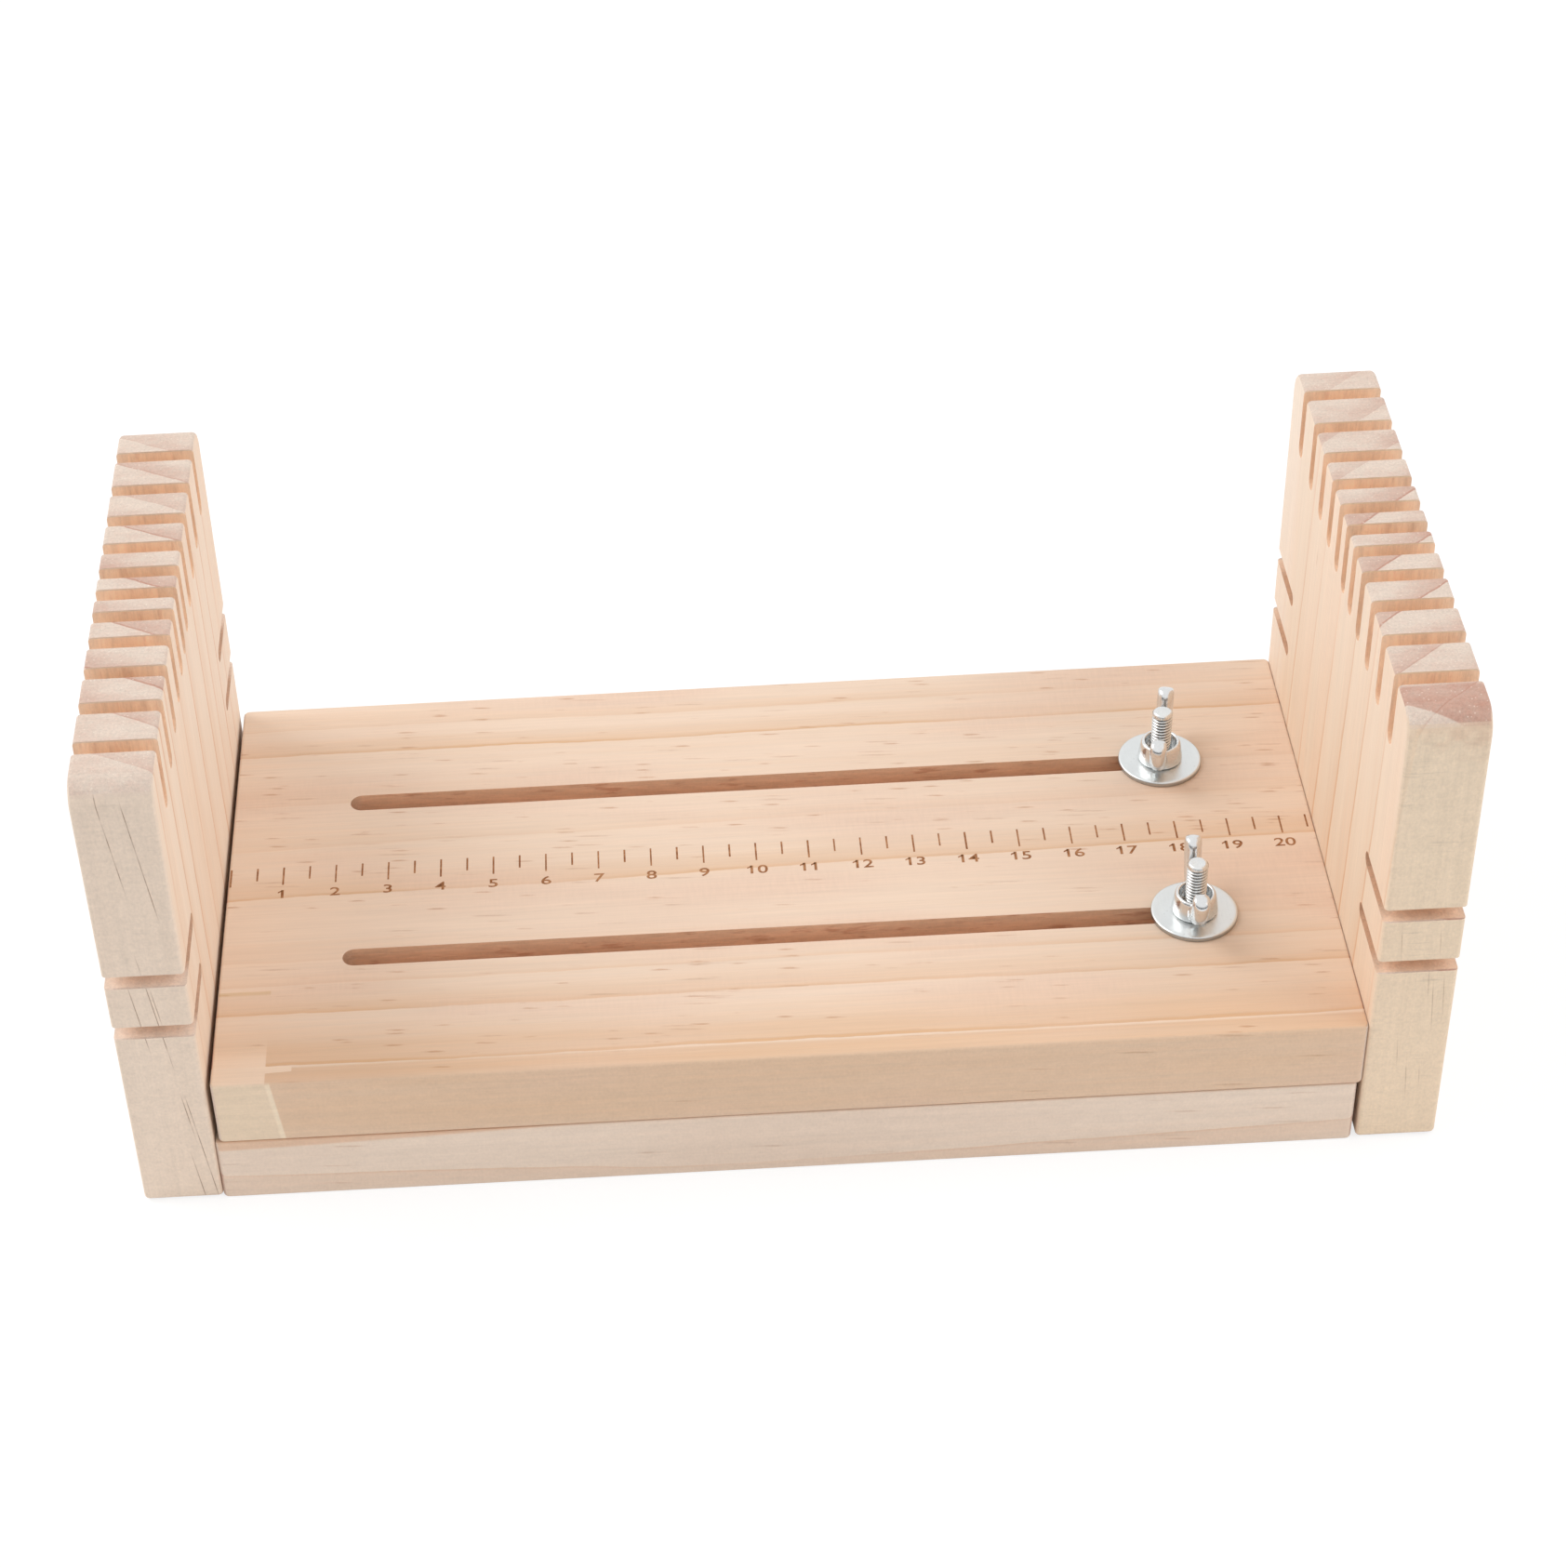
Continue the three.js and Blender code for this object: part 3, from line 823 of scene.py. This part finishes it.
def bright_zinc(name, tone, roughness, wear, groove=0.0, painted_side_shade=0.0):
    """Zinc plate with faint blotches, fine scratches and small pits.

    groove is how much darker the bottom of a thread is, on a piece that has its axis at its own origin:
    partly oil and dirt in the root, partly painted shade in the thread's hollows.
    The last argument darkens the upright sides, as painted shade and a painted dark reflection.
    """
    g = new_material(name)
    x, y, z = g.place()
    blotch = g.noise(x / 2.2, y / 2.2, z / 2.2, 3.0, 0.6)
    scratch = g.noise(x / 0.25, y / 3.5, z / 0.6, 2.0)
    pit, rare = g.cells(x / 0.7, y / 0.7, z / 0.7)
    dent = g.fall(pit, 0.1, 0.28) * g.rise(rare, 0.7, 0.8)
    light = blotch * 0.12 + scratch * 0.08 * wear + 1.0 - dent * 0.12 * wear
    # Partly oil and dirt, partly painted shade: darker towards the roots of the thread
    if groove:
        radius = g.math("SQRT", x * x + y * y)
        thread_end = BOLT_LENGTH - BOLT_CHAMFER
        side = g.fall(g.facing()[2], 0.96, 0.99) * g.fall(z, thread_end - 0.2, thread_end)
        light = light - g.fall(radius, BOLT_RADIUS - THREAD_DEPTH, BOLT_RADIUS) * side * groove
    # Painted shade and painted dark reflection on the upright sides
    if painted_side_shade:
        light = light - g.fall(g.facing()[2], 0.3, 0.8) * painted_side_shade
    colour = g.shade(tone, light)
    rough = blotch * 0.14 * wear + scratch * 0.10 * wear + dent * 0.15 + roughness
    g.bump(scratch * 0.5 * wear - dent + blotch * 0.6, ZINC_RELIEF)
    return g.finish(colour, rough, Metallic=1.0)


MATERIALS = {
    "thread": bright_zinc("bright_zinc_bolt", tint(230, 231, 230), 0.27, 0.6, groove=0.85),
    "nut": bright_zinc("bright_zinc_nut", tint(226, 227, 227), 0.22, 0.8),
    "washer": bright_zinc("tumbled_zinc_washer", tint(225, 228, 228), 0.36, 1.0, painted_side_shade=0.35),
    "screw": bright_zinc("zinc_screw", tint(205, 204, 200), 0.28, 1.0),
    "mark": burnt_mark(),
}


# Meshes

def mesh_object(name, points, faces, material, smooth=True):
    """A new object from points in millimetres."""
    mesh = bpy.data.meshes.new(name)
    mesh.from_pydata([Vector(point) * MM for point in points], [], faces)
    mesh.validate()
    for polygon in mesh.polygons:
        polygon.use_smooth = smooth
    mesh.materials.append(material)
    made = bpy.data.objects.new(name, mesh)
    bpy.context.scene.collection.objects.link(made)
    return made


def polar_solid(name, rings, segments, material):
    """A closed solid about Z. Each ring is a height and a radius, which may depend on the angle."""
    points = [(0, 0, rings[0][0])]
    faces = []
    for height, radius in rings[1:-1]:
        for step in range(segments):
            angle = 2 * math.pi * step / segments
            reach = radius(angle) if callable(radius) else radius
            points.append((reach * math.cos(angle), reach * math.sin(angle), height))
    points.append((0, 0, rings[-1][0]))
    last = len(points) - 1
    rows = len(rings) - 2
    for step in range(segments):
        after = (step + 1) % segments
        faces.append((0, 1 + after, 1 + step))
        for row in range(rows - 1):
            low = 1 + row * segments
            high = low + segments
            faces.append((low + step, low + after, high + after, high + step))
        top = 1 + (rows - 1) * segments
        faces.append((top + step, top + after, last))
    return mesh_object(name, points, faces, material)


def ring_shell(profile, segments):
    """Points and faces of a closed ring about Z, turned from a profile of radius and height."""
    points = []
    faces = []
    count = len(profile)
    for step in range(segments):
        angle = 2 * math.pi * step / segments
        for radius, height in profile:
            points.append((radius * math.cos(angle), radius * math.sin(angle), height))
    for step in range(segments):
        here = step * count
        there = ((step + 1) % segments) * count
        for index in range(count):
            after = (index + 1) % count
            faces.append((here + index, there + index, there + after, here + after))
    return points, faces


def join_shell(points, faces, shell):
    """Adds the points and faces of one shell to those of a larger mesh."""
    start = len(points)
    more, more_faces = shell
    points += more
    faces += [tuple(start + corner for corner in face) for face in more_faces]


def centre_and_base(node):
    """The middle of a node in X and Y, and its lowest Z, in metres."""
    low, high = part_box(node)
    return Vector(((low.x + high.x) / 2, (low.y + high.y) / 2, low.z))


def thread_radius(height, full_height):
    """The radius of a thread at this height, as a function of the angle, run out at its ends."""
    fade = min(1.0, max(0.0, height / PITCH), max(0.0, (full_height - height) / PITCH))

    def radius(angle):
        turn = (height / PITCH - angle / (2 * math.pi)) % 1.0
        ridge = abs(2 * turn - 1)
        groove = 1 - min(1.0, max(0.0, (ridge - CREST_SHARE) / FLANK_SHARE))
        return BOLT_RADIUS - THREAD_DEPTH * fade * groove

    return radius


def square_radius(angle):
    """The radius of the square neck, whose corners are cut back."""
    flat = NECK_SIDE / 2 / max(abs(math.cos(angle)), abs(math.sin(angle)))
    return min(flat, NECK_SIDE / 2 * NECK_CORNER)


def bolt_rings():
    """The bolt from the pole of its round head up to its flat end."""
    steps = 10
    rings = [(-BOLT_HEAD_HEIGHT, 0)]
    for step in range(1, steps + 1):
        angle = step / steps * math.pi / 2
        rings.append((-BOLT_HEAD_HEIGHT * math.cos(angle), BOLT_HEAD_RADIUS * math.sin(angle)))
    rings.append((0.0, BOLT_HEAD_RADIUS - 0.05))
    rings.append((0.0, square_radius))
    rings.append((NECK_LENGTH - 0.5, square_radius))
    rings.append((NECK_LENGTH, BOLT_RADIUS))
    thread_length = BOLT_LENGTH - BOLT_CHAMFER - NECK_LENGTH
    rows = int(thread_length / PITCH * ROWS_PER_PITCH)
    for row in range(1, rows + 1):
        height = thread_length * row / rows
        rings.append((NECK_LENGTH + height, thread_radius(height, thread_length)))
    face = BOLT_RADIUS - BOLT_CHAMFER
    rings.append((BOLT_LENGTH - 0.06, face + 0.05))
    rings.append((BOLT_LENGTH, face - 0.03))
    rings.append((BOLT_LENGTH, face * 0.8))
    rings.append((BOLT_LENGTH - BOLT_DISH, face * 0.5))
    rings.append((BOLT_LENGTH - BOLT_DISH, 0))
    return rings


def add_bolt(side):
    node = f"{side}_bolt"
    bolt = polar_solid(f"{side}_threaded_bolt", bolt_rings(), BOLT_SEGMENTS, MATERIALS["thread"])
    bolt.location = centre_and_base(node) + Vector((0, 0, BOLT_HEAD_HEIGHT * MM))
    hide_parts(node)
    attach(bolt, node)


def add_washer(side):
    """A punched washer: its upper edge rolled over, its lower edge sharper."""
    node = f"{side}_washer"
    top = WASHER_THICKNESS
    profile = [
        (WASHER_BORE, 0.1),
        (WASHER_BORE + 0.08, 0.02),
        (WASHER_RADIUS - 0.1, 0.0),
        (WASHER_RADIUS, 0.1),
        (WASHER_RADIUS, top - 0.34),
        (WASHER_RADIUS - 0.05, top - 0.18),
        (WASHER_RADIUS - 0.17, top - 0.05),
        (WASHER_RADIUS - 0.36, top),
        (WASHER_RADIUS - 0.8, top - 0.02),
        (WASHER_BORE + 0.5, top - 0.02),
        (WASHER_BORE + 0.15, top),
        (WASHER_BORE, top - 0.12),
    ]
    points, faces = ring_shell(profile, WASHER_SEGMENTS)
    washer = mesh_object(f"{side}_zinc_washer", points, faces, MATERIALS["washer"])
    washer.location = centre_and_base(node)
    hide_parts(node)
    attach(washer, "sliding_half")


def wing_rings():
    """The middle, direction, half width and half thickness of a wing, out to its round ear."""
    root, pull, tip = Vector(WING_ROOT), Vector(WING_PULL), Vector(WING_TIP)
    rings = []
    for step in range(WING_STEPS + 1):
        t = step / WING_STEPS
        middle = root * (1 - t) ** 2 + pull * 2 * t * (1 - t) + tip * t * t
        run = ((pull - root) * (1 - t) + (tip - pull) * t).normalized()
        half = WING_ROOT_HALF + (WING_TIP_HALF - WING_ROOT_HALF) * t
        rings.append((middle, run, half, WING_THICKNESS / 2))
    for step in range(1, EAR_STEPS + 1):
        angle = step / EAR_STEPS * math.pi / 2
        ahead = WING_TIP_HALF * math.sin(angle) ** (2 / EAR_SQUARENESS)
        half = WING_TIP_HALF * max(math.cos(angle), 0.001) ** (2 / EAR_SQUARENESS)
        rounding = max(1 - math.sin(angle) ** CAP_SQUARENESS, 0.001) ** (1 / CAP_SQUARENESS)
        rings.append((tip + run * ahead, run, half, WING_THICKNESS / 2 * rounding))
    return rings


def wing_shell(direction):
    """Points and faces of one wing: a round-edged bar that curves out of the hub and up."""
    points = []
    faces = []
    rings = wing_rings()
    for middle, run, half, thick in rings:
        for step in range(WING_AROUND):
            angle = 2 * math.pi * step / WING_AROUND
            out, side = (
                math.copysign(abs(part) ** (2 / WING_SQUARENESS), part)
                for part in (math.cos(angle), math.sin(angle))
            )
            y = middle.x + run.y * out * half
            z = middle.y - run.x * out * half
            points.append((side * thick * direction, y * direction, z))
    for ring in range(len(rings) - 1):
        here = ring * WING_AROUND
        there = here + WING_AROUND
        for step in range(WING_AROUND):
            after = (step + 1) % WING_AROUND
            faces.append((here + step, here + after, there + after, there + step))
    faces.append(tuple(reversed(range(WING_AROUND))))
    faces.append(tuple(range(len(points) - WING_AROUND, len(points))))
    return points, faces


def hub_shell():
    """Points and faces of the hub: a short cone with a cup round the bolt."""
    profile = [
        (HUB_BORE, 0.15),
        (HUB_BORE + 0.2, 0.0),
        (HUB_FOOT - 0.4, 0.0),
        (HUB_FOOT - 0.08, 0.15),
        (HUB_FOOT, 0.5),
        (HUB_FOOT - 0.05, 1.1),
        (HUB_RIM + 0.12, HUB_HEIGHT - 0.9),
        (HUB_RIM, HUB_HEIGHT - 0.4),
        (HUB_RIM - 0.2, HUB_HEIGHT - 0.08),
        (CUP_RADIUS + 0.2, HUB_HEIGHT),
        (CUP_RADIUS + 0.03, HUB_HEIGHT - 0.16),
        (CUP_RADIUS - 0.1, HUB_HEIGHT - 0.9),
        (CUP_RADIUS - 0.3, HUB_HEIGHT - 1.8),
        (HUB_BORE + 0.3, HUB_HEIGHT - 2.4),
        (HUB_BORE, HUB_HEIGHT - 2.6),
    ]
    return ring_shell(profile, HUB_SEGMENTS)


def settle(piece, voxel, rounds):
    """Joins a piece's overlapping shells into one skin and softens its corners."""
    remesh = piece.modifiers.new("skin", "REMESH")
    remesh.mode = "VOXEL"
    remesh.voxel_size = voxel * MM
    remesh.use_smooth_shade = True
    soften = piece.modifiers.new("soften", "SMOOTH")
    soften.factor = 0.5
    soften.iterations = rounds
    graph = bpy.context.evaluated_depsgraph_get()
    mesh = bpy.data.meshes.new_from_object(piece.evaluated_get(graph))
    old = piece.data
    material = old.materials[0]
    piece.modifiers.clear()
    piece.data = mesh
    mesh.name = piece.name
    mesh.materials.clear()
    mesh.materials.append(material)
    bpy.data.meshes.remove(old)


def add_wing_nut(side):
    node = f"{side}_wing_nut"
    points, faces = hub_shell()
    for direction in (1, -1):
        join_shell(points, faces, wing_shell(direction))
    nut = mesh_object(f"{side}_forged_wing_nut", points, faces, MATERIALS["nut"])
    settle(nut, NUT_VOXEL, NUT_SOFTENING)
    nut.location = centre_and_base(node)
    nut.rotation_euler = (0, 0, math.radians(NUT_TURNS[side]))
    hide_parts(node)
    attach(nut, node)


# Ruler

def box_shell(low, high):
    """Points and faces of a plain block, used for the strokes of the ruler."""
    across, deep, tall = zip(low, high)
    points = [(x, y, z) for z in tall for y in deep for x in across]
    faces = [(0, 2, 3, 1), (4, 5, 7, 6), (0, 1, 5, 4), (2, 6, 7, 3), (0, 4, 6, 2), (1, 3, 7, 5)]
    return points, faces


def add_marks(top):
    """The centimetre and half-centimetre strokes."""
    points = []
    faces = []
    unsteady = random.Random(RULER_SEED)
    for index in range(RULER_STROKES):
        length = HALF_MARK if index % 2 else CENTIMETRE_MARK
        middle = RULER_ZERO + index * MARK_STEP
        half = MARK_WIDTH / 2 * unsteady.uniform(0.9, 1.1)
        low = (middle - half, RULER_FAR_ENDS - length, top - MARK_SUNK)
        high = (middle + half, RULER_FAR_ENDS, top + MARK_PROUD)
        join_shell(points, faces, box_shell(low, high))
    return mesh_object("ruler_marks", points, faces, MATERIALS["mark"], smooth=False)


def flag_shell(middle):
    """Points and faces of the small flag of a figure 1, which the font leaves out."""
    depths = (-DIGIT_HALF_DEPTH, DIGIT_HALF_DEPTH)
    points = [(middle + x, y, z) for z in depths for x, y in DIGIT_FLAG]
    faces = [(3, 2, 1, 0), (4, 5, 6, 7)]
    for corner in range(4):
        after = (corner + 1) % 4
        faces.append((corner, after, after + 4, corner + 4))
    return points, faces


def digit_shell(number):
    """Points and faces of a number, standing on y = 0 and centred on x = 0."""
    text = bpy.data.curves.new("digits", "FONT")
    text.body = str(number)
    text.align_x = "CENTER"
    text.extrude = DIGIT_HALF_DEPTH
    text.offset = DIGIT_BOLD
    text.resolution_u = 4
    holder = bpy.data.objects.new("digits", text)
    bpy.context.scene.collection.objects.link(holder)
    bpy.context.view_layer.update()
    mesh = holder.to_mesh()
    points = [tuple(vertex.co) for vertex in mesh.vertices]
    faces = [tuple(polygon.vertices) for polygon in mesh.polygons]
    holder.to_mesh_clear()
    bpy.data.objects.remove(holder)
    bpy.data.curves.remove(text)
    figures = str(number)
    for index, figure in enumerate(figures):
        if figure == "1":
            middle = (index - (len(figures) - 1) / 2) * DIGIT_STEP
            join_shell(points, faces, flag_shell(middle))
    return points, faces


def add_digits(top):
    """The numbers 1 to 20 under the centimetre strokes."""
    zero_points, _ = digit_shell(0)
    tall = max(point[1] for point in zero_points) - min(point[1] for point in zero_points)
    scale = DIGIT_HEIGHT / tall
    depth = MARK_PROUD + MARK_SUNK
    base = RULER_FAR_ENDS - CENTIMETRE_MARK + DIGIT_TOP - DIGIT_HEIGHT
    points = []
    faces = []
    for number in range(1, RULER_NUMBERS + 1):
        middle = RULER_ZERO + number * CENTIMETRE
        shape, digit_faces = digit_shell(number)
        placed = []
        for x, y, z in shape:
            height = top - MARK_SUNK + (z + DIGIT_HALF_DEPTH) * depth
            placed.append((middle + x * scale * DIGIT_WIDTH, base + y * scale, height))
        join_shell(points, faces, (placed, digit_faces))
    return mesh_object("ruler_numbers", points, faces, MATERIALS["mark"], smooth=False)


def add_ruler():
    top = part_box("upper_board")[1].z / MM
    for piece in (add_marks(top), add_digits(top)):
        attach(piece, "fixed_half")


# Stage: floor, world, lamps and camera

def add_floor():
    """A white floor that fades into the background and keeps the loom's shadow."""
    half = FLOOR_HALF
    mesh = bpy.data.meshes.new("floor")
    corners = [(-half, -half, 0), (half, -half, 0), (half, half, 0), (-half, half, 0)]
    mesh.from_pydata(corners, [], [(0, 1, 2, 3)])
    floor = bpy.data.objects.new("floor", mesh)
    bpy.context.scene.collection.objects.link(floor)
    floor.location.z = -FLOOR_DROP
    g = new_material("white_floor")
    plain = g.node("ShaderNodeBsdfDiffuse", {"Color": FLOOR_GREY})
    paper = g.node("ShaderNodeBsdfDiffuse", {"Color": FLOOR_GREY_SEEN})
    glow = g.node("ShaderNodeEmission", {"Color": WHITE, "Strength": FLOOR_GLOW})
    seen = g.node("ShaderNodeAddShader", {0: paper.outputs[0], 1: glow.outputs[0]})
    share = g.math("MAXIMUM", g.path("Is Camera Ray"), g.path("Is Glossy Ray"))
    g.show(g.node("ShaderNodeMixShader", {0: share, 1: plain.outputs[0], 2: seen.outputs[0]}))
    mesh.materials.append(g.owner)


def add_world():
    """Even studio light from the sides, white behind the loom, and a dim room behind the camera."""
    g = Graph(bpy.data.worlds.new("studio"))
    bpy.context.scene.world = g.owner
    x, y, z = g.split(g.node("ShaderNodeTexCoord", {}).outputs["Generated"])
    strength = x * x * 0.6 + y * 0.06 + 0.55
    light = g.node("ShaderNodeBackground", {"Color": WHITE, "Strength": strength})
    room = g.fall(z, 0.2, 0.5) * g.fall(y, -0.6, -0.1)
    mirrored = g.node("ShaderNodeBackground", {"Color": WHITE, "Strength": 1 - room * 0.85})
    white = g.node("ShaderNodeBackground", {"Color": WHITE, "Strength": 1.0})
    glossy = {0: g.path("Is Glossy Ray"), 1: light.outputs[0], 2: mirrored.outputs[0]}
    lit = g.node("ShaderNodeMixShader", glossy)
    camera = {0: g.path("Is Camera Ray"), 1: lit.outputs[0], 2: white.outputs[0]}
    g.show(g.node("ShaderNodeMixShader", camera), "ShaderNodeOutputWorld")


def add_softbox(name, place, power):
    lamp = bpy.data.lights.new(name, "AREA")
    lamp.shape = "SQUARE"
    lamp.size = LAMP_SIZE
    lamp.energy = power
    holder = bpy.data.objects.new(name, lamp)
    holder.location = place
    aim = Vector(LAMP_AIM) - Vector(place)
    holder.rotation_euler = aim.to_track_quat("-Z", "Y").to_euler()
    bpy.context.scene.collection.objects.link(holder)


def add_camera():
    data = bpy.data.cameras.new("camera")
    data.sensor_width = CAMERA_SENSOR
    data.lens = CAMERA_LENS
    data.shift_x, data.shift_y = CAMERA_SHIFT
    data.clip_start = 0.01
    data.clip_end = 20
    holder = bpy.data.objects.new("camera", data)
    holder.location = CAMERA_PLACE
    holder.rotation_euler = [math.radians(turn) for turn in CAMERA_TURN]
    bpy.context.scene.collection.objects.link(holder)
    bpy.context.scene.camera = holder


# The loom

def dress_wood():
    for node, timber in TIMBERS.items():
        material = pine(timber)
        for holder in NODES[node].material_slots:
            holder.material = material


def dress_screws():
    for node, piece in NODES.items():
        if "screw" in node:
            for holder in piece.material_slots:
                holder.material = MATERIALS["screw"]


add_camera()
add_world()
add_floor()
for lamp_name, (lamp_place, lamp_power) in LAMPS.items():
    add_softbox(lamp_name, lamp_place, lamp_power)
bpy.context.scene.view_settings.view_transform = "Standard"

dress_wood()
dress_screws()
add_ruler()
for row in ("front", "rear"):
    add_bolt(row)
    add_washer(row)
    add_wing_nut(row)
